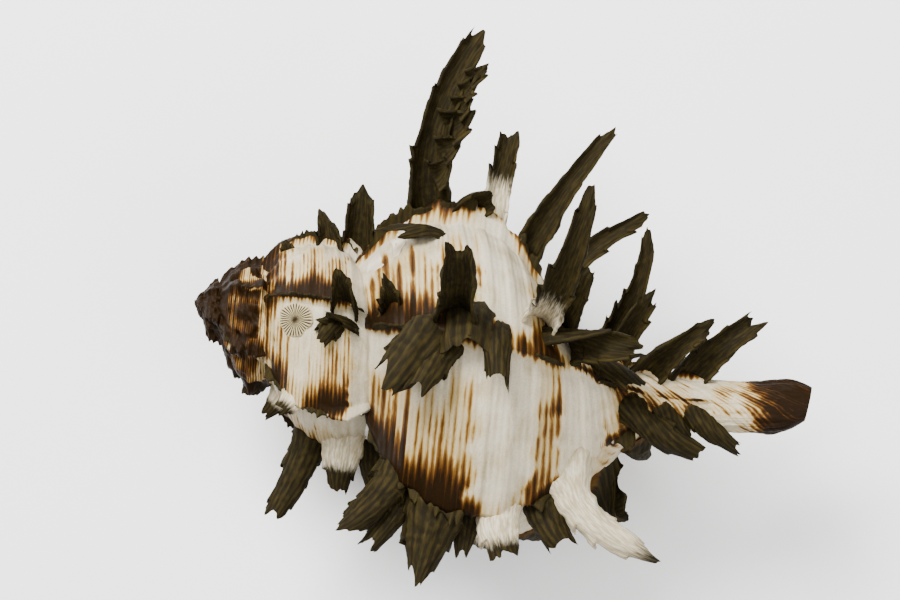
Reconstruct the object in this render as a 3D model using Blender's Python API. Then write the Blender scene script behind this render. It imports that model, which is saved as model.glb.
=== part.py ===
"""A frondose murex shell, grown as one piece and lying on its aperture.

The shell is first laid out along its coiling axis: x runs from the tip of the spire (0) to the
tip of the canal, y and z are measured from that axis, and the angle phi turns around it, from +y
over +z, in the direction of growth. One closed surface, radius as a function of x and phi, holds
the whorls and the canal. The living hollow and the slit of the canal are cut out of it, the
fronds are joined to it, and the lowest frond ends are levelled so that the shell rests on them.
At the end the mesh is moved so that the origin is below the middle of the shell.
"""

import math

import bmesh
import bpy
import numpy as np
from mathutils import Vector

MM = 0.001

# Driving dimensions, in millimetres and degrees
SHELL_LENGTH = 94.0
BODY_CENTRE_X = 44.0
BODY_RADIUS = 23.0
REFERENCE_ANGLE = 90.0
LIP_ANGLE = 205.0
VARIX_SPACING = 61.5
VARIX_SWELL = 0.10
WHORLS = 6
AXIS_HEIGHT = 27.0

# Growth: how fast a whorl's place and radius shrink toward the spire, for each turn back
PLACE_RATE = (0.70, 0.012)
RADIUS_RATE = (0.432, 0.05)
GROWTH_PAST_REFERENCE = 0.55

# Whorl profile, as shares of the whorl's radius
SHOULDER_REACH = 0.82
BASE_REACH = 0.74
BASE_POWER = 2.4
BASE_FLOOR = 0.18

# Siphonal canal
CANAL_START_X = 62.0
CANAL_RADIUS = 3.8
CANAL_TIP_SHARE = 0.5
CANAL_TIP_Y = 4.8
CANAL_TIP_Z = 3.0
CANAL_SLIT_WIDTH = 1.6

# Mesh of the body, and the shortest edge that is kept
RINGS = 34
COLUMNS = 50
SLIVER = 0.02


def turns_back(growth_angle):
    """Turns between a growth angle and the reference one on the back of the body whorl."""
    turns = (REFERENCE_ANGLE - growth_angle) / 360.0
    return np.where(turns < 0.0, turns * GROWTH_PAST_REFERENCE, turns)


def whorl_place(growth_angle):
    """The x of a whorl's widest line at a growth angle."""
    n = turns_back(growth_angle)
    return BODY_CENTRE_X * np.exp(-PLACE_RATE[0] * n - PLACE_RATE[1] * n * n)


def whorl_radius(growth_angle):
    """The radius of a whorl's widest line at a growth angle."""
    n = turns_back(growth_angle)
    return BODY_RADIUS * np.exp(-RADIUS_RATE[0] * n - RADIUS_RATE[1] * n * n)


def varix_swell(growth_angle):
    """Slow rise toward each varix and a sudden fall behind it."""
    share = np.mod((growth_angle - LIP_ANGLE) / VARIX_SPACING, 1.0)
    share = np.where(share < 1e-6, 1.0, share)
    return 1.0 + VARIX_SWELL * share**3


def whorl_profile(x, growth_angle):
    """Radius at x of the whorl that has this growth angle: an ellipse above, a bell below."""
    place = whorl_place(growth_angle)
    radius = whorl_radius(growth_angle)
    q = (x - place) / radius
    above = np.sqrt(np.clip(1.0 - (q / SHOULDER_REACH) ** 2, 0.0, 1.0))
    below = BASE_FLOOR + (1.0 - BASE_FLOOR) * np.exp(-((np.abs(q) / BASE_REACH) ** BASE_POWER))
    return radius * varix_swell(growth_angle) * np.where(q < 0.0, above, below)


def body_radius(x, phi):
    """The outside of the shell: the widest of the whorls that lie at this place."""
    phi = np.mod(phi, 360.0)
    last_turn = np.where(phi <= LIP_ANGLE + 1e-6, phi, phi - 360.0)
    widest = np.zeros(np.broadcast(x, phi).shape)
    for turn in range(WHORLS):
        widest = np.maximum(widest, whorl_profile(x, last_turn - 360.0 * turn))
    # past the base of the body whorl the canal takes over, and it narrows to its tip
    along = np.clip((x - CANAL_START_X) / (SHELL_LENGTH - CANAL_START_X), 0.0, 1.0)
    canal = CANAL_RADIUS * (1.0 - (1.0 - CANAL_TIP_SHARE) * along**8)
    fade = np.clip((x - CANAL_START_X) / 14.0, 0.0, 1.0)
    fade = fade * fade * (3.0 - 2.0 * fade)
    return widest * (1.0 - fade) + canal * fade


def canal_shift(x):
    """Sideways bend of the canal: y and z of its middle line."""
    along = np.clip((x - CANAL_START_X) / (SHELL_LENGTH - CANAL_START_X), 0.0, 1.0)
    return CANAL_TIP_Y * along**2.2, CANAL_TIP_Z * along**2


def on_shell(x, phi, lift=0.0):
    """The point of the outside at x and phi, raised by lift along the radius."""
    r = float(body_radius(x, phi)) + lift
    y, z = canal_shift(x)
    angle = math.radians(phi)
    return Vector((x, float(y) + r * math.cos(angle), float(z) + r * math.sin(angle)))


def new_object(name, points, faces):
    """A mesh object from points in millimetres, with its faces turned outward."""
    mesh = bpy.data.meshes.new(name)
    mesh.from_pydata([tuple(c * MM for c in p) for p in points], [], faces)
    shape = bmesh.new()
    shape.from_mesh(mesh)
    bmesh.ops.recalc_face_normals(shape, faces=shape.faces)
    bmesh.ops.triangulate(shape, faces=shape.faces)
    shape.to_mesh(mesh)
    shape.free()
    obj = bpy.data.objects.new(name, mesh)
    bpy.context.scene.collection.objects.link(obj)
    return obj


def loft(name, rings):
    """A closed solid through rings that have the same number of points, with flat ends."""
    count = len(rings[0])
    points = [p for ring in rings for p in ring]
    faces = []
    for i in range(len(rings) - 1):
        for j in range(count):
            k = (j + 1) % count
            faces.append((i * count + j, i * count + k, (i + 1) * count + k, (i + 1) * count + j))
    faces.append(tuple(range(count))[::-1])
    faces.append(tuple(range((len(rings) - 1) * count, len(rings) * count)))
    return new_object(name, points, faces)


def make_body():
    """The whorls and the canal as one closed surface, pinched to a point at the spire's tip."""
    share = np.linspace(0.0, 1.0, RINGS)
    # rings stand closer together on the small whorls of the spire
    xs = 0.5 + (SHELL_LENGTH - 0.5) * (0.35 * share**2 + 0.65 * share)
    phis = LIP_ANGLE + np.arange(COLUMNS) * 360.0 / COLUMNS
    rings = [[on_shell(float(x), float(p)) for p in phis] for x in xs]
    return loft("shell", rings)


def boolean(target, tool, operation):
    """Cut or join with the exact solver, apply it, and drop the tool."""
    step = target.modifiers.new("step", "BOOLEAN")
    step.operation = operation
    step.object = tool
    step.solver = "EXACT"
    graph = bpy.context.evaluated_depsgraph_get()
    result = bpy.data.meshes.new_from_object(target.evaluated_get(graph))
    target.modifiers.clear()
    target.data = result
    bpy.data.objects.remove(tool, do_unlink=True)


# The living hollow, measured at the lip
HOLLOW_X = 51.0
HOLLOW_RADIUS = 12.5
HOLLOW_LONG = 14.5
HOLLOW_SHORT = 7.6
HOLLOW_TILT = -13.0
HOLLOW_TURN = 235.0
HOLLOW_STEPS = 20
HOLLOW_SIDES = 14
HOLLOW_PAST_LIP = 24.0


def hollow_ring(growth_angle):
    """One oval section of the hollow, in the half plane of its growth angle."""
    place = float(whorl_place(growth_angle) / whorl_place(LIP_ANGLE))
    size = float(whorl_radius(growth_angle) / whorl_radius(LIP_ANGLE))
    tilt = math.radians(HOLLOW_TILT)
    angle = math.radians(growth_angle)
    ring = []
    for j in range(HOLLOW_SIDES):
        a = 2.0 * math.pi * j / HOLLOW_SIDES
        u = HOLLOW_LONG * size * math.cos(a)
        v = HOLLOW_SHORT * size * math.sin(a)
        x = HOLLOW_X * place + u * math.cos(tilt) - v * math.sin(tilt)
        r = HOLLOW_RADIUS * size + u * math.sin(tilt) + v * math.cos(tilt)
        ring.append((x, r * math.cos(angle), r * math.sin(angle)))
    return ring


def make_hollow():
    """The coiled cutter that hollows the body whorl, from deep inside to past the lip."""
    first = LIP_ANGLE - HOLLOW_TURN
    turn = HOLLOW_TURN + HOLLOW_PAST_LIP
    rings = [hollow_ring(first + turn * i / HOLLOW_STEPS) for i in range(HOLLOW_STEPS + 1)]
    return loft("hollow", rings)


def make_slit():
    """The cutter of the narrow slit along the underside of the canal."""
    rings = []
    for i in range(8):
        x = 62.0 + 33.0 * i / 7
        y, z = canal_shift(x)
        top = float(z) + 0.6
        rings.append(
            [
                (x, float(y) - CANAL_SLIT_WIDTH / 2, top - 12.0),
                (x, float(y) + CANAL_SLIT_WIDTH / 2, top - 12.0),
                (x, float(y) + CANAL_SLIT_WIDTH / 2, top),
                (x, float(y) - CANAL_SLIT_WIDTH / 2, top),
            ]
        )
    return loft("slit", rings)


# Fronds: x and phi of the root on the shell, tip (x, y, z) from the axis, width at the root
# and at the tip, and how far the middle of the bend is pulled along x
TOP_VARIX = (
    (34.0, 33, (24.5, 15.5, 14.0), 5.0, 2.2, 0.0),
    (32.0, 17, (33.2, 48.8, 9.0), 8.0, 2.0, -4.5),
    (37.0, 18, (35.0, 29.5, 12.0), 5.5, 2.0, 0.0),
    (41.5, 16, (41.6, 35.2, 8.0), 4.6, 3.0, 0.0),
    (46.5, 15, (56.7, 38.8, 6.0), 6.5, 1.6, 6.5),
    (52.0, 14, (64.6, 27.6, 2.0), 5.5, 2.0, 4.0),
    (59.5, 18, (64.2, 25.3, 7.0), 6.5, 1.6, 2.0),
    (63.5, 30, (67.6, 16.5, 9.0), 5.0, 2.0, 1.0),
)
MIDDLE_VARIX = (
    (30.5, 74, (27.6, 10.0, 21.0), 4.0, 1.8, 0.0),
    (37.5, 80, (35.2, 17.0, 37.0), 8.5, 3.4, 0.0),
    (34.0, 88, (28.0, -6.2, 28.0), 7.5, 4.0, 0.0),
    (37.0, 94, (34.6, -6.4, 30.0), 5.0, 2.6, 0.0),
    (42.5, 86, (45.7, -3.0, 30.0), 6.0, 3.6, 0.0),
    (48.0, 70, (54.2, 28.7, 31.0), 9.0, 1.8, 4.0),
    (54.0, 62, (56.4, 18.6, 21.0), 6.0, 2.4, 1.0),
    (53.5, 74, (67.7, 7.8, 19.0), 7.5, 3.0, 3.0),
    (60.5, 68, (68.6, 1.5, 14.0), 6.0, 2.6, 2.0),
)
BOTTOM_VARIX = (
    (36.0, 146, (29.0, -28.3, 17.0), 6.0, 2.8, 0.0),
    (38.0, 152, (33.6, -30.3, 15.0), 5.0, 2.6, 0.0),
    (42.5, 150, (42.1, -33.8, 17.0), 9.0, 1.8, 0.0),
    (47.5, 152, (47.9, -28.6, 13.0), 4.4, 2.0, 0.0),
    (51.5, 146, (54.5, -27.0, 17.0), 6.4, 4.0, 0.0),
    (56.5, 148, (61.7, -23.9, 14.0), 6.4, 3.6, 0.0),
    (60.0, 146, (76.8, -22.1, 12.0), 7.5, 2.2, 2.0),
)
LIP_VARIX = (
    (37.0, 205, (32.0, -22.0, -30.5), 6.0, 3.6, 0.0),
    (44.0, 205, (43.0, -24.5, -30.5), 7.0, 3.8, 0.0),
    (51.0, 205, (52.0, -24.0, -30.5), 6.5, 3.8, 0.0),
    (57.5, 205, (61.0, -20.0, -30.5), 6.5, 3.6, 0.0),
    (62.5, 204, (71.5, -15.5, -10.0), 5.5, 2.4, 0.0),
)
FAR_VARIX = (
    (31.0, -46, (27.0, 16.0, -30.5), 5.5, 3.4, 0.0),
    (36.5, -46, (35.0, 18.0, -30.5), 7.0, 4.0, 0.0),
    (43.5, -46, (45.0, 17.5, -30.5), 6.5, 4.0, 0.0),
    (50.0, -44, (55.0, 14.0, -25.0), 5.5, 2.4, 0.0),
    (56.5, -42, (62.5, 10.0, -15.0), 5.0, 2.2, 0.0),
)
UNDER_VARIX = (
    (25.0, -104, (22.0, 1.0, -26.0), 5.0, 2.4, 0.0),
    (31.0, -104, (30.0, 2.0, -26.0), 5.0, 2.4, 0.0),
    (37.5, -102, (38.0, 6.0, -20.0), 4.5, 2.2, 0.0),
)
SPIRE_FRONDS = (
    (23.0, 77, (20.8, 9.4, 21.0), 5.5, 2.2, 0.0),
    (24.0, 88, (18.7, -0.4, 18.5), 5.0, 2.6, 0.0),
    (23.0, 14, (21.6, 22.5, 5.0), 6.0, 2.6, 0.0),
    (19.0, 16, (16.4, 17.9, 4.0), 4.0, 2.0, 0.0),
    (13.5, 18, (11.8, 11.6, 3.5), 3.0, 1.6, 0.0),
    (22.0, 186, (18.7, -29.8, 0.0), 5.5, 3.2, 0.0),
    (27.0, 172, (27.9, -23.8, 2.0), 6.0, 2.2, 0.0),
    (31.0, 176, (33.9, -23.6, 0.0), 5.0, 2.2, 0.0),
    (16.5, 186, (14.2, -15.0, -1.0), 4.0, 1.8, 0.0),
    (12.5, 188, (10.8, -12.4, -2.0), 3.4, 1.8, 0.0),
    (19.0, 134, (16.6, -13.5, 12.0), 4.5, 2.2, 0.0),
    (19.5, -50, (17.0, 12.5, -15.5), 5.0, 2.2, 0.0),
    (15.5, -108, (13.0, -6.5, -15.0), 4.5, 2.0, 0.0),
)
CANAL_FRONDS = (
    (68.0, 40, (77.2, 14.2, 7.0), 6.5, 2.6, 0.0),
    (74.5, 25, (84.6, 16.8, 3.0), 6.5, 3.0, 0.0),
    (66.5, 135, (78.1, -6.2, 6.0), 6.5, 4.2, 0.0),
    (70.0, 205, (73.0, -8.0, -9.0), 4.5, 2.4, 0.0),
    (73.0, 160, (79.0, -5.2, 3.0), 5.0, 3.0, 0.0),
    (78.5, 165, (85.6, -4.4, 3.0), 5.0, 2.2, 0.0),
)
# how far a frond goes straight out before it leans over, as a share of its length: most of
# them, and the low ones that the shell rests on
REACH = 0.45
LOW_REACH = 0.22
HIGH_FRONDS = TOP_VARIX + MIDDLE_VARIX + BOTTOM_VARIX + SPIRE_FRONDS + CANAL_FRONDS
LOW_FRONDS = LIP_VARIX + FAR_VARIX + UNDER_VARIX
# a frond keeps its width near the root and narrows toward the tip by this power
TAPER_POWER = 1.4
FROND_THICKNESS = 0.9
# the low fronds are nearly solid, so that their levelled ends bear the shell
LOW_FROND_THICKNESS = 2.2
ROOT_DEPTH = 1.6
LONG_FROND = 12.0
LONG_FROND_STEPS = 5
SHORT_FROND_STEPS = 3


def frond_path(root_x, phi, tip, pull, reach):
    """A bend that leaves the shell along its radius and then leans over to the tip."""
    start = on_shell(root_x, phi, -ROOT_DEPTH)
    end = Vector(tip)
    angle = math.radians(phi)
    outward = Vector((0.0, math.cos(angle), math.sin(angle)))
    middle = start + outward * (end - start).length * reach + Vector((pull, 0.0, 0.0))
    steps = LONG_FROND_STEPS if (end - start).length > LONG_FROND else SHORT_FROND_STEPS
    path = []
    for i in range(steps + 1):
        t = i / steps
        path.append(start * (1 - t) ** 2 + middle * 2 * t * (1 - t) + end * t * t)
    return path


def frond_ring(centre, direction, growth, half, depth, wall):
    """A half tube's section, open toward growth: four points outside and two inside."""
    across = direction.cross(growth).normalized()
    opening = across.cross(direction).normalized()
    ring = []
    for degrees in (-90, -35, 35, 90):
        a = math.radians(degrees)
        ring.append(centre + across * (half * math.sin(a)) - opening * (depth * math.cos(a)))
    inner_half = max(half - wall, half * 0.3)
    inner_depth = max(depth - wall, depth * 0.1)
    for degrees in (35, -35):
        a = math.radians(degrees)
        ring.append(
            centre + across * (inner_half * math.sin(a)) - opening * (inner_depth * math.cos(a))
        )
    return ring


def make_frond(root_x, phi, tip, root_width, tip_width, pull, reach, wall):
    """One leafy spine: a half tube that narrows in steps, like its saw-toothed edge."""
    path = frond_path(root_x, phi, tip, pull, reach)
    angle = math.radians(phi)
    growth = Vector((0.0, -math.sin(angle), math.cos(angle)))
    rings = []
    for i, centre in enumerate(path):
        before = path[max(i - 1, 0)]
        after = path[min(i + 1, len(path) - 1)]
        direction = (after - before).normalized()
        t = i / (len(path) - 1)
        tooth = 1.12 if i % 2 else 0.92
        half = 0.5 * (root_width + (tip_width - root_width) * t**TAPER_POWER) * tooth
        depth = half * (0.9 - 0.25 * t)
        rings.append(frond_ring(centre, direction, growth, half, depth, wall))
    return loft("frond", rings)


def box(name, low, high):
    """A plain block between two corners."""
    corners = [[(x, y, z) for y, z in ((low[1], low[2]), (high[1], low[2]),
                                       (high[1], high[2]), (low[1], high[2]))]
               for x in (low[0], high[0])]
    return loft(name, corners)


def drop_slivers(obj):
    """Removes the needle-thin faces that cuts leave, and closes the mesh over them."""
    shape = bmesh.new()
    shape.from_mesh(obj.data)
    bmesh.ops.triangulate(shape, faces=shape.faces)
    bmesh.ops.dissolve_degenerate(shape, dist=SLIVER * MM, edges=shape.edges)
    bmesh.ops.triangulate(shape, faces=shape.faces)
    shape.to_mesh(obj.data)
    shape.free()


def shell_material():
    """Weathered cream shell."""
    material = bpy.data.materials.new("shell")
    material.use_nodes = True
    surface = material.node_tree.nodes["Principled BSDF"]
    surface.inputs["Base Color"].default_value = (0.60, 0.52, 0.40, 1.0)
    surface.inputs["Roughness"].default_value = 0.55
    surface.inputs["Metallic"].default_value = 0.0
    return material


def place_on_ground(obj):
    """Moves the mesh so that the origin is under the middle of the shell, on the ground."""
    corners = np.array([v.co[:] for v in obj.data.vertices])
    low = corners.min(axis=0)
    high = corners.max(axis=0)
    middle = (low + high) / 2.0
    shift = Vector((-middle[0], -middle[1], -low[2]))
    for v in obj.data.vertices:
        v.co += shift


def main():
    for obj in list(bpy.data.objects):
        bpy.data.objects.remove(obj, do_unlink=True)
    shell = make_body()
    for frond in HIGH_FRONDS:
        boolean(shell, make_frond(*frond, REACH, FROND_THICKNESS), "UNION")
    for frond in LOW_FRONDS:
        boolean(shell, make_frond(*frond, LOW_REACH, LOW_FROND_THICKNESS), "UNION")
    boolean(shell, make_hollow(), "DIFFERENCE")
    boolean(shell, make_slit(), "DIFFERENCE")
    below = box("below", (-20.0, -80.0, -80.0), (120.0, 80.0, -AXIS_HEIGHT))
    boolean(shell, below, "DIFFERENCE")
    drop_slivers(shell)
    place_on_ground(shell)
    shell.data.materials.clear()
    shell.data.materials.append(shell_material())
    for face in shell.data.polygons:
        face.material_index = 0


main()
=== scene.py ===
"""Looks of a frondose murex shell that lies on its mouth, seen from above.

The shell is worked out along its coiling axis, in millimetres: x runs from the tip of the spire to
the tip of the canal, and the growth angle t turns around that axis, from +y over +z, one turn for
each whorl, up to the outer lip. A whorl's surface is a function of its growth angle and of its row,
from the seam above it, over the widest line, down to the canal.
"""
import functools

import bmesh
import bpy
import numpy as np
from mathutils import Matrix, Vector


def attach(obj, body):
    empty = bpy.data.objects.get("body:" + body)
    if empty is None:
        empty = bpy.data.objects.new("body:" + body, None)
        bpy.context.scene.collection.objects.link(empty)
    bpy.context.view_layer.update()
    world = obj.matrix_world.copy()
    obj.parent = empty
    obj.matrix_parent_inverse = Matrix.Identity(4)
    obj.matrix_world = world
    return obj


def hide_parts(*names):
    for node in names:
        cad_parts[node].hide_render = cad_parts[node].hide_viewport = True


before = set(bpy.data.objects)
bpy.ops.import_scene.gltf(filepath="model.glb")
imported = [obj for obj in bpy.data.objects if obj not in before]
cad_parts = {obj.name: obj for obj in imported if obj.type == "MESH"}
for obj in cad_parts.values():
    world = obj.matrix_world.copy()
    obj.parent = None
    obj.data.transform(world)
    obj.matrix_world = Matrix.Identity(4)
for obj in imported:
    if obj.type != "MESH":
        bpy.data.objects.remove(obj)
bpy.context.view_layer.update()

bl_info = {
    "name": "Murex shell",
    "version": (1, 0, 0),
    "blender": (4, 5, 0),
    "location": "View3D > Sidebar > Murex shell",
    "description": "Builds a frondose murex shell with its fronds, mouth and canal",
    "category": "Add Mesh",
}

MM = 0.001
SAME_POINT = 0.0005 * MM
LATTICE = 64

# Where the shell's own coordinates start in the frame, in millimetres
AXIS_IN_FRAME = np.array([-47.25, -7.617, 27.014])

# Growth of the shell, in millimetres and degrees, as the solid has it
SHELL_LENGTH = 94.0
BODY_CENTRE_X = 44.0
BODY_RADIUS = 23.0
REFERENCE_ANGLE = 90.0
LIP_ANGLE = 205.0
VARIX_SPACING = 61.5
VARIX_SWELL = 0.10
PLACE_RATE = (0.70, 0.012)
RADIUS_RATE = (0.432, 0.05)
GROWTH_PAST_REFERENCE = 0.55
SHOULDER_REACH = 0.82
BASE_REACH = 0.74
BASE_POWER = 2.4
BASE_FLOOR = 0.18
WHORLS = 6
SPIRE_TURNS = 4.6

# Siphonal canal
CANAL_START_X = 62.0
CANAL_RADIUS = 3.8
CANAL_TIP_SHARE = 0.5
CANAL_TIP_Y = 4.8
CANAL_TIP_Z = 3.0

# The photograph: millimetres for each pixel, roll of the coiling axis, pixel of the spire's tip,
# width in pixels and how far the camera is away, in millimetres
MM_PER_PIXEL = 0.15
AXIS_ROLL = 12.5
SPIRE_TIP_PIXEL = (190.0, 300.0)
IMAGE_WIDTH = 900
CAMERA_DISTANCE = 520.0


def smooth(low, high, value):
    """Rises from 0 at low to 1 at high along an S, for whole arrays."""
    share = np.clip((value - low) / (high - low), 0.0, 1.0)
    return share * share * (3.0 - 2.0 * share)


def linear(hex_colour):
    """An sRGB hex value as linear RGBA."""
    parts = [int(hex_colour[i : i + 2], 16) / 255.0 for i in (1, 3, 5)]
    return [c / 12.92 if c <= 0.04045 else ((c + 0.055) / 1.055) ** 2.4 for c in parts] + [1.0]


def lattice(seed):
    """A seeded square table of random values for smooth noise."""
    return np.random.default_rng(seed).random((LATTICE, LATTICE))


def noise(u, v, seed):
    """Smooth noise from 0 to 1 over two parameters: a random lattice blended along an S."""
    table = lattice(seed)
    iu, iv = np.floor(u).astype(int), np.floor(v).astype(int)
    fu, fv = u - iu, v - iv
    fu, fv = fu * fu * (3 - 2 * fu), fv * fv * (3 - 2 * fv)
    u0, u1, v0, v1 = (i % LATTICE for i in (iu, iu + 1, iv, iv + 1))
    near = table[u0, v0] * (1 - fu) + table[u1, v0] * fu
    far = table[u0, v1] * (1 - fu) + table[u1, v1] * fu
    return near * (1 - fv) + far * fv


# Growth of the whorls

def turns_back(t):
    """Turns between a growth angle and the reference one on the back of the body whorl."""
    n = (REFERENCE_ANGLE - t) / 360.0
    return np.where(n < 0.0, n * GROWTH_PAST_REFERENCE, n)


def whorl_place(t):
    """The x of a whorl's widest line: it shrinks toward the tip by a power for each turn."""
    n = turns_back(t)
    return BODY_CENTRE_X * np.exp(-PLACE_RATE[0] * n - PLACE_RATE[1] * n * n)


def whorl_radius(t):
    """The radius of a whorl's widest line, which shrinks in the same way."""
    n = turns_back(t)
    return BODY_RADIUS * np.exp(-RADIUS_RATE[0] * n - RADIUS_RATE[1] * n * n)


def varix_share(t):
    """0 just past a varix, 1 on the next one."""
    share = np.mod((t - LIP_ANGLE) / VARIX_SPACING, 1.0)
    return np.where(share < 1e-6, 1.0, share)


def varix_swell(t):
    """Slow rise toward each varix and a quick fall behind it."""
    share = varix_share(t)
    rise = VARIX_SWELL * share**3
    fall = VARIX_SWELL * (1.0 - smooth(0.0, 0.045, share))
    return 1.0 + np.maximum(rise, fall)


def whorl_profile(q):
    """Radius as a share of the widest one: an ellipse above the widest line, a bell below it."""
    above = np.sqrt(np.clip(1.0 - (q / SHOULDER_REACH) ** 2, 0.0, 1.0))
    below = BASE_FLOOR + (1.0 - BASE_FLOOR) * np.exp(-((np.abs(q) / BASE_REACH) ** BASE_POWER))
    return np.where(q < 0.0, above, below)


def canal_share(x):
    """0 where the canal starts, 1 at its tip."""
    return np.clip((x - CANAL_START_X) / (SHELL_LENGTH - CANAL_START_X), 0.0, 1.0)


def whorl_surface(x, t):
    """Radius at x of the whorl with growth angle t, which fades into the canal."""
    radius = whorl_radius(t)
    whorl = radius * varix_swell(t) * whorl_profile((x - whorl_place(t)) / radius)
    canal = CANAL_RADIUS * (1.0 - (1.0 - CANAL_TIP_SHARE) * canal_share(x) ** 8)
    fade = smooth(CANAL_START_X, CANAL_START_X + 14.0, x)
    return whorl * (1.0 - fade) + canal * fade


def body_radius(x, phi):
    """The outside of the shell: the widest of the whorls that lie at this place."""
    phi = np.mod(phi, 360.0)
    last_turn = np.where(phi <= LIP_ANGLE + 1e-6, phi, phi - 360.0)
    widest = np.zeros(np.broadcast(x, phi).shape)
    for turn in range(WHORLS):
        widest = np.maximum(widest, whorl_surface(x, last_turn - 360.0 * turn))
    return widest


def around_axis(x, t, radius):
    """Points at x, angle t and a radius from the bent middle line of the shell."""
    bend_y = CANAL_TIP_Y * canal_share(x) ** 2.2
    bend_z = CANAL_TIP_Z * canal_share(x) ** 2
    angle = np.radians(t)
    return np.stack(
        np.broadcast_arrays(x, bend_y + radius * np.cos(angle), bend_z + radius * np.sin(angle)),
        axis=-1,
    )


# Meshes

def shares(rows, columns):
    """Shares from 0 to 1 down the rows of a grid and along its columns."""
    return np.linspace(0.0, 1.0, rows)[:, None], np.linspace(0.0, 1.0, columns)[None, :]


def disc(rings, spokes):
    """Shares of the radius and angles of a round grid, whose last spoke meets its first."""
    theta = np.linspace(0.0, 2.0 * np.pi, spokes, endpoint=False)[None, :]
    return np.linspace(0.0, 1.0, rings)[:, None], theta


def patch_on_shell(x0, phi0, along, around):
    """x and phi around one place on the shell, from distances along x and around the axis."""
    return x0 + along, phi0 + np.degrees(around / float(body_radius(x0, phi0)))


def grid_object(name, grids, material, closed=False, flipped=False):
    """One object from grids of points, in millimetres from the coiling axis, with their values.

    Each grid is a pair: its points, row by row, and under each name a value for every point. A
    closed grid also joins its last column to its first. Flipped turns the faces the other way.
    """
    quads, start = [], 0
    for points, _ in grids:
        rows, columns = points.shape[:2]
        i = start + columns * np.arange(rows - 1)[:, None]
        j = np.arange(columns if closed else columns - 1)[None, :]
        k = (j + 1) % columns
        corners = np.stack([i + j, i + k, i + columns + k, i + columns + j], axis=-1)
        quads.append(corners.reshape(-1, 4))
        start += rows * columns
    quads = np.concatenate(quads)[:, :: -1 if flipped else 1]
    placed = (np.concatenate([points.reshape(-1, 3) for points, _ in grids]) + AXIS_IN_FRAME) * MM
    mesh = bpy.data.meshes.new(name)
    mesh.vertices.add(len(placed))
    mesh.vertices.foreach_set("co", placed.astype(np.float32).ravel())
    mesh.loops.add(quads.size)
    mesh.loops.foreach_set("vertex_index", quads.astype(np.int32).ravel())
    mesh.polygons.add(len(quads))
    mesh.polygons.foreach_set("loop_start", np.arange(0, quads.size, 4, dtype=np.int32))
    mesh.update(calc_edges=True)
    mesh.validate()
    mesh.polygons.foreach_set("use_smooth", np.ones(len(mesh.polygons), dtype=bool))
    for key in grids[0][1]:
        data = [np.broadcast_to(values[key], points.shape[:2]).ravel() for points, values in grids]
        layer = mesh.attributes.new(key, "FLOAT", "POINT")
        layer.data.foreach_set("value", np.concatenate(data).astype(np.float32))
    mesh.materials.append(material)
    obj = bpy.data.objects.new(name, mesh)
    bpy.context.scene.collection.objects.link(obj)
    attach(obj, "root")
    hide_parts("shell")
    return obj


def close_seams(obj):
    """Joins points that lie on each other, at a pole or where two faces of a wall meet."""
    joined = bmesh.new()
    joined.from_mesh(obj.data)
    bmesh.ops.remove_doubles(joined, verts=joined.verts, dist=SAME_POINT)
    joined.to_mesh(obj.data)
    joined.free()
    return obj


# Materials

def add_node(tree, kind, inputs=(), out=0, stops=(), **settings):
    """Adds a node with its settings, its inputs and a ramp's stops, and gives one of its outputs.

    The inputs go by name or number, or in order. Each is another node's output, a number, or a
    colour as sRGB hex or linear RGBA. A stop is a place from 0 to 1 and a colour.
    """
    node = tree.nodes.new("ShaderNode" + kind)
    for key, value in settings.items():
        setattr(node, key, value)
    for key, source in inputs.items() if isinstance(inputs, dict) else enumerate(inputs):
        if isinstance(source, bpy.types.NodeSocket):
            tree.links.new(source, node.inputs[key])
        else:
            node.inputs[key].default_value = linear(source) if isinstance(source, str) else source
    for _ in stops[2:]:
        node.color_ramp.elements.new(0.5)
    for index, (place, shade) in enumerate(stops):
        element = node.color_ramp.elements[index]
        element.position = place
        element.color = linear(shade) if isinstance(shade, str) else shade
    return node.outputs[out] if node.outputs else None


def start_material(name):
    """An empty node material, and the function that adds a node to it."""
    material = bpy.data.materials.new(name)
    material.use_nodes = True
    material.node_tree.nodes.clear()
    return material, functools.partial(add_node, material.node_tree)


def finish_material(material, add, surface):
    """Joins a Principled surface with these inputs to the material's output."""
    add("OutputMaterial", [add("BsdfPrincipled", surface)])
    return material


def grain(add, size_mm, detail, roughness):
    """Noise in the shell's own coordinates with features of a real size."""
    return add("TexNoise", {"Vector": add("TexCoord", out="Object"), "Scale": 1.0 / (size_mm * MM),
                            "Detail": detail, "Roughness": roughness})


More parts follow.
